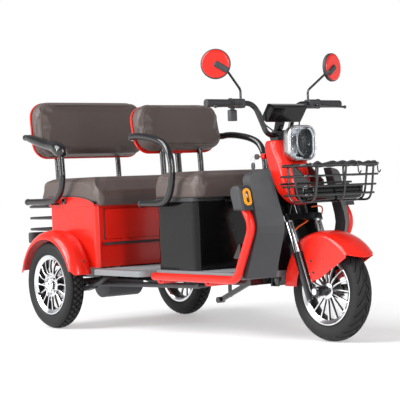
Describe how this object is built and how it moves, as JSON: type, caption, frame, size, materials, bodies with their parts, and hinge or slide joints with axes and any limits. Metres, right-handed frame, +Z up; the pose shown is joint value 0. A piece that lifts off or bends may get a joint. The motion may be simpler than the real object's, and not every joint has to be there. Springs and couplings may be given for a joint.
{
  "type": "electric tricycle",
  "caption": "Open electric tricycle with a rider seat, a passenger bench, arm hoops, a wire basket and a steered front wheel; wheels, steering, seat lid and storage door move.",
  "frame": {"origin": "on the ground under the middle of the overall length and width", "axes": "+X forward, +Y to the rider's left, +Z up"},
  "size_m": [2.1414, 0.852, 1.185],
  "materials": {
    "red_paint": "gloss",
    "red_metal": "gloss",
    "black_metal": "gloss",
    "black_plastic": "satin",
    "black_gloss": "gloss",
    "floor_grey": "satin",
    "leather": "satin",
    "tyre": "matte",
    "alloy": "machined",
    "chrome": "polished",
    "grip": "matte",
    "amber": "gloss",
    "red_lens": "gloss",
    "lens": "gloss",
    "cast": "cast",
    "battery_case": "satin",
    "spring_steel": "satin"
  },
  "bodies": {
    "chassis": {"basket_stays": "black_metal", "basket_tray": "black_plastic", "battery": "battery_case", "brake_pedal": "black_metal", "corner_lamps": "amber", "drive_motor": "cast", "frame": "black_metal", "front_arm_hoop": "black_metal", "front_back_posts": "black_metal", "front_back_shell": "red_paint", "front_backrest": "leather", "front_basket": "black_metal", "front_box": "black_gloss", "front_fairing": "red_paint", "front_floor": "floor_grey", "head_tube": "black_metal", "headlight_bezel": "chrome", "headlight_body": "chrome", "headlight_lens": "lens", "inner_panel": "black_plastic", "lamp_pods": "black_plastic", "leg_shields": "black_plastic", "rear_arm_hoop": "black_metal", "rear_axle": "black_metal", "rear_back_posts": "black_metal", "rear_back_shell": "red_paint", "rear_backrest": "leather", "rear_body": "red_paint", "rear_cushion": "leather", "rear_fenders": "red_paint", "rear_floor": "floor_grey", "rear_rack": "black_metal", "rear_seat_plate": "black_metal", "rear_springs": "spring_steel", "step_bars": "red_metal", "tail_lamps": "red_lens", "tail_unit": "black_plastic"},
    "steering": {"fork_sliders": "black_metal", "fork_stanchions": "chrome", "fork_crown": "black_metal", "front_axle": "chrome", "front_fender": "red_paint", "handlebar": "black_metal", "bar_clamp": "black_metal", "grips": "grip", "switch_pods": "black_plastic", "brake_levers": "alloy", "dashboard": "black_plastic", "mirrors": "red_paint", "mirror_stems": "black_metal", "control_cables": "black_plastic"},
    "front_wheel": {"front_tyre": "tyre", "front_rim": "alloy"},
    "rear_wheel_right": {"rear_tyre_right": "tyre", "rear_rim_right": "alloy"},
    "rear_wheel_left": {"rear_tyre_left": "tyre", "rear_rim_left": "alloy"},
    "rider_seat": {"front_seat_base": "black_plastic", "front_cushion": "leather"},
    "storage_door": {"rear_door": "red_paint"}
  },
  "joints": [
    {"name": "steering", "type": "hinge", "parent": "chassis", "child": "steering", "pos_m": [0.69867, 0, 0.51469], "axis": [-0.3584, 0, 0.9336], "range_deg": [-35, 35]},
    {"name": "front_wheel_spin", "type": "hinge", "parent": "steering", "child": "front_wheel", "pos_m": [0.86575, 0, 0.205], "axis": [0, 1, 0], "continuous": true},
    {"name": "rear_wheel_right_spin", "type": "hinge", "parent": "chassis", "child": "rear_wheel_right", "pos_m": [-0.62425, -0.373, 0.205], "axis": [0, 1, 0], "continuous": true},
    {"name": "rear_wheel_left_spin", "type": "hinge", "parent": "chassis", "child": "rear_wheel_left", "pos_m": [-0.62425, 0.373, 0.205], "axis": [0, 1, 0], "continuous": true},
    {"name": "rider_seat_lid", "type": "hinge", "parent": "chassis", "child": "rider_seat", "pos_m": [0.29375, 0, 0.574], "axis": [0, 1, 0], "range_deg": [0, 75]},
    {"name": "storage_door", "type": "hinge", "parent": "chassis", "child": "storage_door", "pos_m": [-0.35605, 0, 0.405], "axis": [0, 1, 0], "range_deg": [0, 90]}
  ]
}
